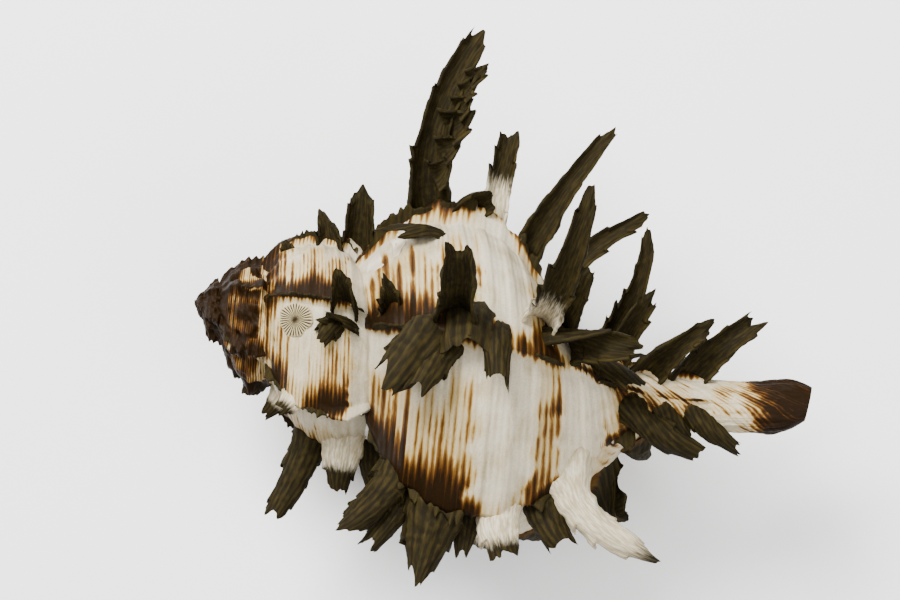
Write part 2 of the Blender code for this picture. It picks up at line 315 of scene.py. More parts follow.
def weathered_shell(look):
    """Calcite shell with a dull, chalky outside: cream to white, with brown lines in its threads.

    The eye sees thin ochre lines that start past a varix, widen and darken along the growth and
    run together in dark brown, with flame-like edges, at the next varix.
    """
    material, add = start_material("weathered calcite shell")
    thread, along, stain = (add("Attribute", out="Fac", attribute_name=name)
                            for name in ("thread", "along", "stain"))
    # How far a place lies from the middle of its thread, and a number for each thread
    phase = add("Math", [thread], operation="FRACT")
    away = add("Math", [add("Math", [phase, 0.5], operation="SUBTRACT")], operation="ABSOLUTE")
    own = add("TexWhiteNoise", {"W": add("Math", [thread], operation="FLOOR")}, "Value",
              noise_dimensions="1D")
    # Streaks, far longer along the growth than across the threads, 0.9 mm wide on the last whorl
    place = add("VectorMath", [add("CombineXYZ", [thread, along]), (0.9, 0.22, 0.0)],
                operation="MULTIPLY")
    streak = add("TexNoise", {"Vector": place, "Scale": 1.0, "Detail": 4.0, "Roughness": 0.6,
                              "Distortion": 0.4})
    loose = add("Math", [streak, 0.75, -0.375], operation="MULTIPLY_ADD")
    loose = add("Math", [add("Math", [own, 0.34, -0.17], operation="MULTIPLY_ADD"), loose])
    present = add("Math", [stain, 9.0], operation="MULTIPLY", use_clamp=True)
    level = add("Math", [present, loose, stain], operation="MULTIPLY_ADD")
    narrow = add("Math", [away, -0.75], operation="MULTIPLY")
    cover = add("Math", [level, 1.35, narrow], operation="MULTIPLY_ADD", use_clamp=True)
    # Cream under the lines, warmer beside them
    cloud = add("Math", [grain(add, 5.0, 3.0, 0.5), 0.5], operation="MULTIPLY")
    cloud = add("Math", [streak, 0.5, cloud], operation="MULTIPLY_ADD")
    base = add("ValToRGB", [cloud], stops=((0.36, look.shade), (0.54, look.cream)))
    halo = add("Math", [stain, 1.5], operation="MULTIPLY", use_clamp=True)
    halo = add("Math", [halo, 0.7], operation="MULTIPLY")
    warm = add("Mix", {0: halo, 6: base, 7: "#b89d60"}, 2, data_type="RGBA")
    tint = add("ValToRGB", [cover],
               stops=((0.0, "#b79a62"), (0.25, look.ochre), (0.46, look.orange_brown),
                      (0.68, look.dark_brown), (0.92, "#1c1105")))
    lines = add("Math", [cover, 2.6], operation="MULTIPLY", use_clamp=True)
    colour = add("Mix", {0: lines, 6: warm, 7: tint}, 2, data_type="RGBA")
    # The grit of the worn surface is finer, and is drawn as coarse as it needs to show
    fine = add("ValToRGB", [grain(add, 0.3, 3.0, 0.7)], stops=((0.3, "#b4ae9e"), (0.7, "#ffffff")))
    colour = add("Mix", {0: 0.4, 6: colour, 7: fine}, 2, data_type="RGBA", blend_type="MULTIPLY")
    rough = add("MapRange", {0: streak, "To Min": 0.42, "To Max": 0.62})
    bump = add("Bump", {"Strength": 0.4, "Distance": 0.12 * MM,
                        "Height": grain(add, 0.4, 5.0, 0.7)})
    return finish_material(material, add, {"Base Color": colour, "Roughness": rough,
                                           "Specular IOR Level": 0.05, "Normal": bump})


def frond_shell(look):
    """Leafy calcite, stained near black: dull and rough, with olive brown streaks and a painted
    highlight on its raised ribs and edges.
    """
    material, add = start_material("dark frond calcite")
    pale, rise, root, around, along = (add("Attribute", out="Fac", attribute_name=name)
                                       for name in ("pale", "rise", "root", "round", "long"))
    # Streaks about 0.4 mm wide and 2 mm long, from distances in millimetres
    place = add("VectorMath", [add("CombineXYZ", [around, along]), (2.4, 0.5, 0.0)],
                operation="MULTIPLY")
    streak = add("TexNoise", {"Vector": place, "Scale": 1.0, "Detail": 5.0, "Roughness": 0.65})
    # Painted highlight: raised ribs and edges are drawn lighter, up to olive brown and a pale brown
    # top stop
    rib = add("Math", [rise, 0.4], operation="MULTIPLY")
    dark = add("ValToRGB", [add("Math", [streak, 0.6, rib], operation="MULTIPLY_ADD")],
               stops=((0.2, "#0d0a05"), (0.45, look.frond_black), (0.7, look.frond_olive_and_highlight),
                      (0.95, "#41361a")))
    white = add("ValToRGB", [streak],
                stops=((0.25, "#857c69"), (0.45, look.shade), (0.6, look.cream)))
    # White roots and rust stains end along the streaks
    loose = add("Math", [streak, 0.8, -0.4], operation="MULTIPLY_ADD")
    share = add("MapRange", {0: add("Math", [pale, loose]), "From Min": 0.30, "From Max": 0.85},
                interpolation_type="SMOOTHSTEP")
    colour = add("Mix", {0: share, 6: dark, 7: white}, 2, data_type="RGBA")
    rust = add("MapRange", {0: add("Math", [root, loose]), "From Min": 0.6, "From Max": 1.0,
                            "To Max": 0.45})
    colour = add("Mix", {0: rust, 6: colour, 7: look.orange_brown}, 2, data_type="RGBA")
    bump = add("Bump", {"Strength": 0.5, "Distance": 0.15 * MM,
                        "Height": grain(add, 0.45, 5.0, 0.75)})
    return finish_material(material, add, {"Base Color": colour, "Roughness": 0.72,
                                           "Specular IOR Level": 0.06, "Normal": bump})


def glazed_shell(look):
    """The smooth inner glaze of the mouth: white porcelain-like calcite with a soft gloss, and painted
    shade that turns it grey brown deeper inside.
    """
    material, add = start_material("inner shell glaze")
    depth, rim = (add("Attribute", out="Fac", attribute_name=name) for name in ("depth", "rim"))
    # Painted shade: the white turns grey brown the deeper a place lies inside the mouth
    white = add("ValToRGB", [depth], stops=((0.0, "#e9e2d3"), (0.25, "#f2eee6"), (0.7, "#d9cfbd"),
                                            (1.0, "#a89a82")))
    colour = add("Mix", {0: rim, 6: white, 7: look.dark_brown}, 2, data_type="RGBA")
    return finish_material(material, add, {"Base Color": colour, "Roughness": 0.24, "IOR": 1.53})


def crust_coral():
    """A thin coral crust: chalky cream with dark lines that run out from its middle."""
    material, add = start_material("coral crust")
    ridge = add("Attribute", out="Fac", attribute_name="ridge")
    colour = add("ValToRGB", [ridge], stops=((0.0, "#120b05"), (0.5, "#4a3a1f"), (1.0, "#a99a70")))
    return finish_material(material, add, {"Base Color": colour, "Roughness": 0.8})


# Whorls

# Spacing of the threads as a share of the whorl's radius, how many make a cord, and where a whorl
# is brown: from, to and how strongly, counted from its widest line in shares of its radius
THREAD_SPACING = 0.04
CORD_THREADS = 4
BROWN_BANDS = ((-0.80, 0.02, 1.0), (0.38, 0.56, 1.0), (0.84, 1.0, 0.9), (1.3, 1.5, 0.6))


def threads(q):
    """Thread number along a whorl's profile, counted from the seam, the same all along a whorl."""
    return (q + 1.2) / THREAD_SPACING


def thread_relief(q, radius):
    """Raised spiral threads with a stronger cord at every fourth, in millimetres."""
    phase = 2.0 * np.pi * threads(q)
    fine = 0.5 - 0.5 * np.cos(phase)
    broad = 0.5 + 0.5 * np.cos(phase / CORD_THREADS)
    return radius / BODY_RADIUS * (0.13 * fine + 0.40 * broad**2)


def growth_relief(q, t, radius):
    """Low wavy lamellae across the threads, where the shell paused while it grew."""
    wave = noise(t / 7.0, threads(q) / 4.0, 11)
    step = np.mod(t / 3.7 + wave * 1.4, 1.0)
    return radius / BODY_RADIUS * (0.14 * step * smooth(0.2, 1.0, varix_share(t)) + 0.25 * wave)


def band_weight(q):
    """1 in the brown bands of a whorl, 0 in the white ones."""
    weight = np.zeros(np.shape(q))
    for low, high, strength in BROWN_BANDS:
        inside = smooth(low - 0.05, low + 0.03, q) * smooth(high + 0.05, high - 0.03, q)
        weight = np.maximum(weight, inside * strength)
    return weight


def stain_of(q, t):
    """How brown the shell is at a place: nothing past a varix, more toward the next one.

    Between two varices every pair of threads starts to colour at a share of its own and darkens
    along two S curves. The bands wander a little, and lie lower on the earlier whorls. A varix is
    dark on its crest, and the colour runs out just past it.
    """
    share = varix_share(t)
    wander = 0.09 * (noise(t / 8.0, 3.0, 61) - 0.5) + 0.05 * (noise(t / 3.0, q * 9.0, 62) - 0.5)
    line = np.floor(threads(q) / 2.0).astype(int)
    segment = np.floor((t - LIP_ANGLE) / VARIX_SPACING + 40).astype(int)
    luck = lattice(5)[line % LATTICE, segment % LATTICE]
    later = 0.2 * smooth(-100.0, -160.0, t)
    bands = band_weight(q - later + wander)
    onset = 0.02 + 0.36 * luck
    early = 0.26 * smooth(0.37, 0.42, q - later) * smooth(0.60, 0.53, q - later)
    ramp = early + 0.35 * smooth(onset, onset + 0.22, share)
    ramp = ramp + 0.68 * smooth(0.56 + 0.18 * luck, 0.96, share)
    crest = 0.85 * smooth(0.90, 1.0, share) * smooth(1.25, 1.0, q)
    past = 0.5 * bands * (1.0 - smooth(0.0, 0.07, share))
    return np.clip(np.maximum(ramp * bands, np.maximum(crest * bands**0.3, past)), 0.0, 1.0)


# Fronds: x and phi of the root on the shell, tip (x, y, z) from the axis, width at the root and at
# the tip, how far the middle of the bend is pulled along x, and how pale the frond is
TOP_VARIX = (
    (34.0, 33, (24.5, 15.5, 14.0), 5.0, 2.2, 0.0, 0.0),
    (33.5, 17, (34.4, 48.8, 9.0), 6.4, 2.6, -6.6, 0.0),
    (37.5, 18, (41.0, 24.6, 12.0), 5.0, 3.0, 0.0, 0.0),
    (41.5, 16, (41.6, 35.2, 8.0), 4.6, 3.0, 0.0, 0.5),
    (47.0, 15, (56.7, 39.2, 6.0), 4.6, 1.6, 2.6, 0.0),
    (52.5, 14, (64.8, 27.6, 2.0), 4.0, 1.6, 0.5, 0.22),
    (60.0, 18, (64.8, 25.5, 7.0), 4.4, 1.6, 7.0, 0.0),
    (63.5, 30, (67.6, 16.5, 9.0), 5.0, 2.0, 1.0, 0.1),
)
MIDDLE_VARIX = (
    (30.5, 74, (27.6, 10.0, 21.0), 4.0, 1.8, 0.0, 0.0),
    (39.6, 78, (37.6, 16.4, 37.0), 6.6, 3.8, 0.0, 0.0),
    (36.4, 82, (31.2, -6.4, 28.0), 6.6, 5.0, 0.0, 0.0),
    (39.0, 84, (35.6, -6.4, 29.0), 5.6, 3.8, 0.0, 0.0),
    (41.6, 76, (42.6, 1.0, 26.6), 8.0, 6.6, 0.0, 0.0),
    (45.4, 76, (47.6, -3.2, 29.0), 4.6, 3.2, 0.0, 0.0),
    (50.5, 70, (54.6, 28.9, 31.0), 6.4, 2.2, 3.0, 0.3),
    (54.0, 62, (56.4, 18.6, 21.0), 6.0, 2.4, 1.0, 0.0),
    (53.5, 74, (67.7, 7.8, 19.0), 7.5, 3.0, 3.0, 0.1),
    (60.5, 68, (68.6, 1.5, 14.0), 6.0, 2.6, 2.0, 0.0),
)
BOTTOM_VARIX = (
    (36.0, 146, (29.0, -28.3, 17.0), 6.0, 2.8, 0.0, 0.0),
    (38.0, 152, (33.6, -30.3, 15.0), 5.0, 2.6, 0.0, 0.0),
    (42.5, 150, (42.1, -33.8, 17.0), 9.0, 1.8, 0.0, 0.0),
    (47.5, 152, (47.9, -28.6, 13.0), 4.4, 2.0, 0.0, 0.1),
    (51.5, 146, (54.5, -27.0, 17.0), 6.4, 4.0, 0.0, 0.75),
    (57.6, 150, (63.2, -24.2, 13.0), 6.2, 3.8, 0.0, 0.0),
    (60.0, 146, (76.8, -22.1, 12.0), 7.5, 2.2, 2.0, 0.86),
)
LIP_VARIX = (
    (37.0, 205, (32.0, -22.0, -30.5), 6.0, 3.6, 0.0, 0.0),
    (44.0, 205, (43.0, -24.5, -30.5), 7.0, 3.8, 0.0, 0.0),
    (51.0, 205, (52.0, -24.0, -30.5), 6.5, 3.8, 0.0, 0.2),
    (57.5, 205, (61.0, -20.0, -30.5), 6.5, 3.6, 0.0, 0.0),
    (64.0, 204, (70.6, -14.8, -7.0), 9.5, 6.5, 6.0, 0.0),
)
FAR_VARIX = (
    (31.0, -46, (27.0, 16.0, -30.5), 5.5, 3.4, 0.0, 0.0),
    (36.5, -46, (35.0, 18.0, -30.5), 7.0, 4.0, 0.0, 0.0),
    (43.5, -46, (45.0, 17.5, -30.5), 6.5, 4.0, 0.0, 0.1),
    (50.0, -44, (55.0, 14.0, -25.0), 5.5, 2.4, 0.0, 0.0),
    (56.5, -42, (62.5, 10.0, -15.0), 5.0, 2.2, 0.0, 0.0),
)
UNDER_VARIX = (
    (25.0, -104, (22.0, 1.0, -26.0), 5.0, 2.4, 0.0, 0.1),
    (31.0, -104, (30.0, 2.0, -26.0), 5.0, 2.4, 0.0, 0.0),
    (37.5, -102, (38.0, 6.0, -20.0), 4.5, 2.2, 0.0, 0.4),
)
SPIRE_FRONDS = (
    (23.5, 78, (21.6, 9.0, 21.0), 3.8, 2.8, 0.0, 0.0),
    (24.5, 86, (20.0, 2.0, 18.5), 3.6, 2.8, 0.0, 0.0),
    (22.0, 84, (20.2, -2.0, 16.5), 4.2, 3.0, 0.0, 0.0),
    (23.0, 14, (21.6, 22.5, 5.0), 6.0, 2.6, 0.0, 0.0),
    (19.0, 16, (16.4, 17.9, 4.0), 4.0, 2.0, 0.0, 0.0),
    (13.5, 18, (11.8, 11.6, 3.5), 3.0, 1.6, 0.0, 0.0),
    (22.0, 186, (18.7, -29.8, 0.0), 5.5, 3.2, 0.0, 0.0),
    (27.0, 172, (27.9, -23.8, 2.0), 6.0, 2.2, 0.0, 0.6),
    (31.0, 176, (33.9, -23.6, 0.0), 5.0, 2.2, 0.0, 0.0),
    (16.5, 186, (14.2, -15.0, -1.0), 4.0, 1.8, 0.0, 0.6),
    (12.5, 188, (10.8, -12.4, -2.0), 3.4, 1.8, 0.0, 0.0),
    (19.0, 134, (16.6, -13.5, 12.0), 4.5, 2.2, 0.0, 0.7),
    (19.5, -50, (17.0, 12.5, -15.5), 5.0, 2.2, 0.0, 0.0),
    (15.5, -108, (13.0, -6.5, -15.0), 4.5, 2.0, 0.0, 0.1),
)
CANAL_FRONDS = (
    (68.5, 40, (77.6, 13.8, 7.0), 4.6, 2.2, 2.5, 0.0),
    (75.0, 25, (84.9, 16.4, 3.0), 4.8, 2.6, 2.5, 0.1),
    (67.6, 112, (79.0, -6.0, 5.0), 4.6, 3.8, 2.0, 0.0),
    (70.0, 205, (73.0, -8.0, -9.0), 4.5, 2.4, 0.0, 0.1),
    (72.8, 122, (79.8, -5.4, 2.6), 4.0, 3.0, 1.0, 0.0),
    (77.4, 116, (85.7, -4.3, 3.0), 3.6, 2.6, 1.5, 0.0),
)
# Barbs on the right edge of the tallest frond: root and tip in pixels of the photograph, width in
# millimetres, and their height over the axis and width at the tip
BARBS = (
    ((468.0, 82.0), (489.0, 66.0), 2.8),
    ((461.0, 95.0), (480.0, 77.0), 2.8),
    ((455.0, 111.0), (473.0, 94.0), 3.4),
    ((446.0, 130.0), (476.0, 112.0), 4.8),
    ((440.0, 153.0), (463.0, 139.0), 4.6),
    ((433.0, 178.0), (452.0, 160.0), 4.2),
)
BARB_Z = 10.0
BARB_TIP_WIDTH = 0.35
ALL_FRONDS = (TOP_VARIX + MIDDLE_VARIX + BOTTOM_VARIX + SPIRE_FRONDS + CANAL_FRONDS + LIP_VARIX
              + FAR_VARIX + UNDER_VARIX)
# How far a bend goes outward before it turns, as a share of the frond's length
REACH = 0.45
LOW_REACH = 0.22
# How deep the roots sit in the shell, and where the ground lies under the low fronds
ROOT_DEPTH = 2.8
LIP_ROOT_DEPTH = 0.7
CANAL_ROOT_DEPTH = 1.5
GROUND_Z = -27.4
# How a frond narrows, the teeth of its edges, its ribs, half the angle of its section, and its grid
TAPER_POWER = 1.4
TOOTH_SPACING = 3.1
TOOTH_DEPTH = 0.24
RIBS = 15
SECTION_ANGLE = 112.0
FROND_ROWS = 64
FROND_ARC = 27
# Fronds nearer the spire than this grow on the whorl before the last
SECOND_WHORL_X = 28.0
# A frond past this angle and x stands over the mouth, and one past this x on the canal
MOUTH_ANGLE = 140.0
MOUTH_X = 33.0
CANAL_FRONDS_X = 66.0


def ridge_relief(x, t):
    """Cords that rise toward each frond of a varix, 1 at the highest, and where they are dark or pale.

    Each is a bell across x around the frond's root, and rises along the growth as an S squared.
    """
    share = varix_share(t)
    rise = smooth(0.50, 1.0, share) ** 2
    height = np.zeros(np.broadcast(x, t).shape)
    dark = np.zeros(np.broadcast(x, t).shape)
    light = np.zeros(np.broadcast(x, t).shape)
    for root_x, phi, _, root_width, _, _, pale in ALL_FRONDS:
        grown = phi - 360.0 if root_x < SECOND_WHORL_X else phi
        near = np.abs(t - grown + 14.0) < 26.0
        line = np.exp(-(((x - root_x) / (0.5 * root_width)) ** 2)) * near
        height = np.maximum(height, line * rise * min(1.0, root_width / 6.0))
        dark = np.maximum(dark, (1.0 - pale) * line * smooth(0.82, 0.97, share))
        light = np.maximum(light, line * pale)
    return height, dark, light


def canal_flames(x, t):
    """Warm streaks on the canal, bells across x that run down to each of its lower fronds."""
    warmth = np.zeros(np.broadcast(x, t).shape)
    for root_x, phi, *_ in CANAL_FRONDS:
        if 100.0 < phi < MOUTH_ANGLE:
            off = x - root_x + 0.05 * (phi - t)
            reach = smooth(phi - 75.0, phi - 15.0, t) * smooth(phi + 75.0, phi + 25.0, t)
            warmth = np.maximum(warmth, np.exp(-((off / 1.9) ** 2)) * reach)
    cream = 0.26 * smooth(0.3, 0.8, noise(x / 3.0, t / 25.0, 67))
    return np.maximum(0.66 * warmth, cream) * smooth(CANAL_START_X, CANAL_START_X + 4.0, x)


def lip_line(x):
    """Growth angle of the outer lip: straight along the whorl, then round to the canal's slit."""
    return LIP_ANGLE + LIP_TURN * smooth(52.0, 66.0, x)


# Rows and columns of the body whorl, the share of its rows above the widest line, where its outside
# begins, how far the lip turns toward the slit, and how wide the slit is, both in degrees
WHORL_ROWS = 330
WHORL_COLUMNS = 250
RIM_COLUMNS = 6
INNER_COLUMNS = 44
UPPER_ROWS = 0.34
WHORL_BEGIN = -215.0
LIP_TURN = 57.0
SLIT_DEGREES = 18.0


def body_whorl(sizes, look):
    """The last whorl and the canal: out along the growth, over the lip's rim, and back inside.

    Rows run from the seam over the widest line to the tip of the canal. Columns run along the
    growth to the lip, then over the rim, and back along the inner face of the outer wall. The
    radius is the whorl's own plus threads, growth lines and cords, less the wall inside.
    """
    rows, out = shares(WHORL_ROWS, WHORL_COLUMNS)
    rim = np.linspace(0.0, 1.0, RIM_COLUMNS + 1)[None, 1:]
    back = np.linspace(0.0, 1.0, INNER_COLUMNS + 1)[None, 1:]
    share = np.concatenate([out, np.ones_like(rim), 1.0 - back], axis=1)
    fold = np.concatenate([np.zeros_like(out), rim, np.ones_like(back)], axis=1)
    inner = fold > 0.999
    climb = np.radians(20.0 + 70.0 * np.clip(rows / UPPER_ROWS, 0.0, 1.0))
    fall = np.clip((rows - UPPER_ROWS) / (1.0 - UPPER_ROWS), 0.0, 1.0)

    def place_rows(t):
        radius = whorl_radius(t)
        widest = whorl_place(t)
        top = widest - SHOULDER_REACH * radius * np.cos(climb)
        base = widest + (SHELL_LENGTH - widest) * fall
        return np.where(rows < UPPER_ROWS, top, base)

    # The angles depend on x and x on the angles, so both are worked out in turns
    x = place_rows(np.full_like(share, LIP_ANGLE))
    for _ in range(4):
        end = lip_line(x)
        begin = WHORL_BEGIN + (end - 360.0 + SLIT_DEGREES - WHORL_BEGIN) * smooth(63.0, 67.0, x)
        inner_span = 200.0 + 125.0 * smooth(62.0, 66.0, x)
        outside = begin + (end - begin) * share
        inside = end - inner_span * (1.0 - share)
        t = np.where(inner, inside, np.where(fold > 0.0, end, outside))
        x = place_rows(t)
    radius = whorl_radius(t)
    q = (x - whorl_place(t)) / radius
    surface = whorl_surface(x, t)
    calm = 1.0 - 0.75 * smooth(CANAL_START_X + 2.0, CANAL_START_X + 16.0, x)
    ridge, dark, light = ridge_relief(x, t)
    ridge = sizes.ridge_height / MM * ridge
    relief = (thread_relief(q, radius) * calm + growth_relief(q, t, radius) + ridge) * (1.0 - fold)
    relief = relief * smooth(SHELL_LENGTH, SHELL_LENGTH - 4.0, x)
    deep = smooth(0.0, 0.22, 1.0 - share) * inner
    wall = np.minimum(sizes.wall / MM + 2.2 * deep, 0.02 + 0.5 * (SHELL_LENGTH - x))
    wall = np.minimum(wall, 0.42 * surface)
    lip_wave = 0.35 * np.cos(2.0 * np.pi * threads(q) / CORD_THREADS) * (fold > 0.0)
    bulge = np.sin(np.pi * fold)
    turned = t + np.degrees(0.5 * wall * bulge / np.maximum(surface, 1.0))
    ripple = lip_wave * smooth(0.0, 0.3, fold) * smooth(1.0, 0.6, 1.0 - share)
    radial = surface + relief - wall * fold - np.abs(ripple) * inner
    # The canal's tip is a blade: wider across and flatter than the rest
    blade = smooth(84.0, SHELL_LENGTH, x)[..., None] * np.array([0.0, 0.38, -0.2])
    middle = around_axis(x, turned, 0.0 * radial)
    points = middle + (around_axis(x, turned, radial) - middle) * (1.0 + blade)
    tip = smooth(79.0, 88.0, x + 2.5 * np.cos(np.radians(t + 60.0)) - 1.5 * noise(t / 15.0, x, 8))
    stain = np.maximum(stain_of(q, t) * (1.0 - light), np.maximum(dark, canal_flames(x, t)))
    spots = 0.8 * smooth(0.3, 0.9, noise(threads(q) / 2.0, 0.0, 21))
    # depth: how far back inside the mouth a place lies, which darkens the glaze as painted shade
    values = {
        "thread": threads(q),
        "along": 0.3 * t,
        "stain": np.maximum(stain * (1.0 - fold), 0.92 * tip),
        "depth": np.where(inner, 1.0 - share, 0.0),
        "rim": np.where(fold > 0.0, np.clip(1.0 - 9.0 * (1.0 - share), 0.0, 1.0), 0.0) * spots,
    }
    whorl = grid_object("body_whorl", [(points, values)], weathered_shell(look))
    whorl.data.materials.append(glazed_shell(look))
    column = np.arange(len(whorl.data.polygons)) % (share.shape[1] - 1)
    glazed = (column >= WHORL_COLUMNS + 2).astype(np.int32)
    whorl.data.polygons.foreach_set("material_index", glazed)
    return whorl


SPIRE_GRID = (86, 1050)


def spire_whorls(sizes, look):
    """The earlier whorls as one long coil, rows from the seam to below the next whorl.

    The radius is the whorl's own plus threads, growth lines and cords, and toward the tip it is
    multiplied by knobs at each varix, beads at each cord and two scales of worn lumps.
    """
    u, way = shares(*SPIRE_GRID)
    first = LIP_ANGLE - 360.0 * (SPIRE_TURNS + 1.0)
    last = LIP_ANGLE - 360.0 + 12.0
    t = first + (last - first) * way + 0.0 * u
    radius = whorl_radius(t)
    climb = np.radians(15.0 + 75.0 * np.clip(u / 0.6, 0.0, 1.0))
    below = np.clip((u - 0.6) / 0.4, 0.0, 1.0) * 0.85
    q = np.where(u < 0.6, -SHOULDER_REACH * np.cos(climb), below) + 0.0 * t
    x = whorl_place(t) + q * radius
    knob = np.exp(-((np.minimum(varix_share(t), 1.0 - varix_share(t)) / 0.16) ** 2))
    beads = 0.5 + 0.5 * np.cos(2.0 * np.pi * threads(q) / CORD_THREADS)
    worn = smooth(16.0, 11.5, x + 2.0 * noise(t / 12.0, q * 2.0, 71))
    rugged = noise(t / 9.0, threads(q) / 4.5, 72) - 0.4
    fine = noise(t / 3.5, threads(q) / 1.6, 74) - 0.5
    lumps = (knob * (0.07 + 0.05 * beads) + 0.26 * rugged + 0.05 * fine) * worn
    surface = radius * varix_swell(t) * whorl_profile(q) * (1.0 + lumps)
    ridge, _, light = ridge_relief(x, t)
    ridge = sizes.ridge_height / MM * ridge * (t > LIP_ANGLE - 720.0)
    surface = surface + thread_relief(q, radius) + growth_relief(q, t, radius) + ridge
    surface = surface * smooth(first - 1.0, first + 160.0, t)
    points = around_axis(x, t, surface)
    blotch = noise(t / 14.0, q * 4.0, 73)
    pink_line = smooth(0.02, 0.08, q) * smooth(0.24, 0.16, q) * smooth(-1000.0, -900.0, t)
    patch = 1.0 - 0.8 * smooth(0.74, 0.82, blotch) * smooth(5.0, 8.0, x)
    old = worn * (0.56 + 0.75 * blotch) * (1.0 - 0.6 * pink_line) * patch
    old = old + 0.6 * smooth(6.0, 3.5, x)
    stain = np.clip(np.maximum(stain_of(q, t) * (1.0 - light), old), 0.0, 1.0)
    values = {"thread": threads(q), "along": 0.3 * t, "stain": stain}
    return grid_object("spire_whorls", [(points, values)], weathered_shell(look))


def over_mouth(root_x, phi):
    """Whether a frond stands on the thin wall over the mouth."""
    return phi > MOUTH_ANGLE and root_x > MOUTH_X


def shell_root(root_x, phi):
    """Where a frond starts, a little inside the shell, and the directions outward and of growth."""
    depth = CANAL_ROOT_DEPTH if root_x > CANAL_FRONDS_X else ROOT_DEPTH
    depth = LIP_ROOT_DEPTH if over_mouth(root_x, phi) else depth
    start = around_axis(np.array(root_x), phi, body_radius(root_x, phi) - depth).reshape(3)
    angle = np.radians(phi)
    outward = np.array([0.0, np.cos(angle), np.sin(angle)])
    growth = np.array([0.0, -np.sin(angle), np.cos(angle)])
    return start, outward, growth


def root_slope(root_x, phi):
    """How much the shell rises for each millimetre along x, under a frond over the mouth."""
    if not over_mouth(root_x, phi):
        return 0.0
    return float(body_radius(root_x + 1.5, phi) - body_radius(root_x - 1.5, phi)) / 3.0


def from_photo(pixel, z):
    """The point that a pixel of the photograph shows, at a height above the coiling axis."""
    dx, dy = pixel[0] - SPIRE_TIP_PIXEL[0], pixel[1] - SPIRE_TIP_PIXEL[1]
    roll = np.radians(AXIS_ROLL)
    return (MM_PER_PIXEL * (dx * np.cos(roll) + dy * np.sin(roll)),
            MM_PER_PIXEL * (dx * np.sin(roll) - dy * np.cos(roll)), z)


def frond_points(root, slope, tip, root_width, tip_width, pull, reach, seed, thick):
    """A half tube carried along a bend: ribbed outside, hollow toward the growth, ragged edges.

    The bend is a parabola from the root, along the radius, to the tip. The section goes over the
    back from edge to edge and returns along the hollow side. Each line of the section ends at a
    length of its own, so the end is torn, and both edges have barbs that rise toward the tip.
    """
    luck = np.random.default_rng(seed).random(8)
    start, outward, growth = root
    end = np.array(tip)
    length = np.linalg.norm(end - start)
    middle = start + outward * length * reach + np.array([pull, 0.0, 0.0])

    outer = np.linspace(-SECTION_ANGLE, SECTION_ANGLE, FROND_ARC)
    a = np.radians(np.concatenate([outer, outer[::-1]]))[None, :]
    inside = np.repeat([0.0, 1.0], FROND_ARC)[None, :]
    side = np.sign(a)
    edge = np.abs(np.sin(0.5 * a)) ** 3 * 1.6

    u = np.linspace(0.0, 1.0, FROND_ROWS)[:, None]
    torn = 0.24 * noise(a * 1.3 + 9.0, seed * 1.7, 31) + 0.06 * noise(a * 4.0 + 9.0, seed * 2.3, 32)
    torn = torn + 0.16 * (1.0 - np.cos(a)) * (1.0 - tip_width / root_width)
    torn = torn * min(1.0, 9.0 / length) * 1.4
    s = u * (1.0 - torn) / (1.0 - torn.min())
    s3 = s[..., None]
    sunk = slope * smooth(0.35, 0.0, s)
    centre = start * (1 - s3) ** 2 + middle * 2 * s3 * (1 - s3) + end * s3 * s3
    direction = (middle - start) * 2 * (1 - s3) + (end - middle) * 2 * s3
    direction /= np.linalg.norm(direction, axis=-1, keepdims=True)
    side_way = np.cross(outward, growth)
    across = side_way - direction * np.sum(direction * side_way, axis=-1, keepdims=True)
    across /= np.linalg.norm(across, axis=-1, keepdims=True)
    opening = np.cross(across, direction)

    half = 0.5 * (root_width + (tip_width - root_width) * s**TAPER_POWER)
    half = half * (1.0 + 0.25 * np.exp(-s * length / 2.0))
    count = max(length / TOOTH_SPACING, 2.0)
    half = half * (0.86 + 0.3 * noise(s * count * 0.6, seed + 0.5, 19))
    row = np.where(side > 0, seed % 60 + 2.0, seed % 60 + 31.0)
    pace = s * count + 1.3 * noise(s * count * 0.7, row, 13) + np.where(side > 0, luck[0], luck[1])
    own = lattice(17)[np.floor(pace).astype(int) % LATTICE, row.astype(int) % LATTICE]
    tooth = np.mod(pace, 1.0) ** 2.2 * smooth(0.10, 0.3, s) * own**1.5 * 2.6 - 0.15
    tooth = tooth * np.where(side > 0, 0.1 + luck[6], 0.1 + luck[7])
    wander = 1.4 * noise(s * count * 0.5, seed + 0.3, 23)
    wave = noise(s * count * 1.6 + seed, a * 2.0 + 7.0, seed % 50 + 3)
    rib = np.abs(np.cos(0.5 * RIBS * a + wander)) ** 1.5 - 0.6
    crumple = noise(s * count * 5.0 + seed, a * 5.0 + 7.0, 27) - 0.5
    ribs = 1.0 + (0.06 * rib + 0.20 * (wave - 0.5) + 0.07 * crumple) * (1.0 - 0.6 * inside)
    width = half * (1.0 + TOOTH_DEPTH * tooth * edge)
    depth = half * (0.95 - 0.30 * s)
    wall = thick * (1.0 - 0.35 * s) * np.clip(1.0 - 0.5 * edge, 0.25, 1.0)
    wall = wall * smooth(1.0, 0.93, u) * inside
    points = (
        centre
        + across * ((width * ribs - wall) * np.sin(a))[..., None]
        - opening * ((depth * ribs - wall) * np.cos(a))[..., None]
        + direction * (tooth * edge * 0.7)[..., None]
    )
    points = points + outward * (sunk * (points[..., 0] - start[0]))[..., None]
    # Painted highlight: crests of the ribs, bulges and crumples, and the edges, get a lighter colour,
    # less so in the hollow
    rise = 0.5 + 0.6 * rib * (1.0 - 0.5 * inside) + 0.25 * (wave - 0.5) + 0.4 * crumple
    values = {
        "rise": np.clip(rise + 0.1 * edge, 0.0, 1.0),
        "round": a * 0.5 * root_width + 10.0 * luck[5],
        "long": s * length + 10.0 * luck[4],
        "root": np.exp(-((s * length / 1.4) ** 2)),
    }
    return points, s, inside, values


